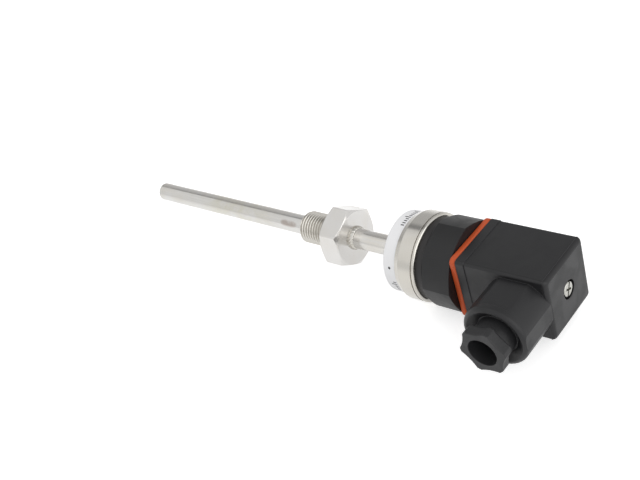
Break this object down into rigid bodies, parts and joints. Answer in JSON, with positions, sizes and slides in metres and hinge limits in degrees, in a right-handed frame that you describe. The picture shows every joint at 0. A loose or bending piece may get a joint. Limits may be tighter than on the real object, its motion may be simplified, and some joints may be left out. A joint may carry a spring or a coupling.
{
  "type": "temperature sensor",
  "caption": "Screw-in temperature probe with a hexagon, a round steel head and a square right-angle cable plug held by a central screw.",
  "frame": {"origin": "on the probe's axis, at the hexagon's sealing face", "axes": "+X along the axis from the stud to the plug, +Z the normal of the plug's large flat side, the cable gland along -Y"},
  "size_m": [0.2072, 0.0535, 0.0338],
  "materials": {
    "probe_steel": "drawn and lightly brushed",
    "turned_steel": "fine turned",
    "weld": "bright weld",
    "head_steel": "satin turned",
    "label": "plain matte film",
    "ceramic": "fired",
    "lead_metal": "drawn wire",
    "board": "lacquered board",
    "chip": "moulded",
    "black_base": "fine moulded grain",
    "black_plug": "fine moulded grain",
    "black_nut": "moulded, semi-matte",
    "gasket_rubber": "soft moulded",
    "black_rubber": "soft moulded",
    "brass": "turned",
    "plated_contact": "tin plated",
    "screw_steel": "bright plated",
    "insert_plastic": "moulded"
  },
  "bodies": {
    "sensor": {"protection_tube": "probe_steel", "process_connection": "turned_steel", "weld_bead": "weld", "housing_weld": "weld", "sensing_element": "ceramic", "insulator": "ceramic", "lead_wires": "lead_metal", "housing": "head_steel", "label_band": "label", "circuit_board": "board", "board_components": "chip", "contact_base": "black_base", "housing_seal": "black_rubber", "contact_pins": "plated_contact", "earth_pin": "plated_contact", "threaded_insert": "brass", "flat_gasket": "gasket_rubber"},
    "plug": {"plug_housing": "black_plug", "terminal_block": "insert_plastic", "socket_contacts": "plated_contact", "terminal_screws": "screw_steel", "gland_seal": "black_rubber", "gland_washer": "insert_plastic"},
    "nut": {"gland_nut": "black_nut"},
    "screw": {"retaining_screw": "screw_steel", "screw_seal": "black_rubber"}
  },
  "joints": [
    {"name": "plug_pull", "type": "slide", "parent": "sensor", "child": "plug", "axis": [1, 0, 0], "range_m": [0, 0.014]},
    {"name": "gland_nut_turn", "type": "hinge", "parent": "plug", "child": "nut", "pos_m": [0.08865, -0.03, 0], "axis": [0, -1, 0], "continuous": true},
    {"name": "screw_turn", "type": "hinge", "parent": "plug", "child": "screw", "pos_m": [0.10025, 0, 0], "axis": [1, 0, 0], "continuous": true}
  ]
}
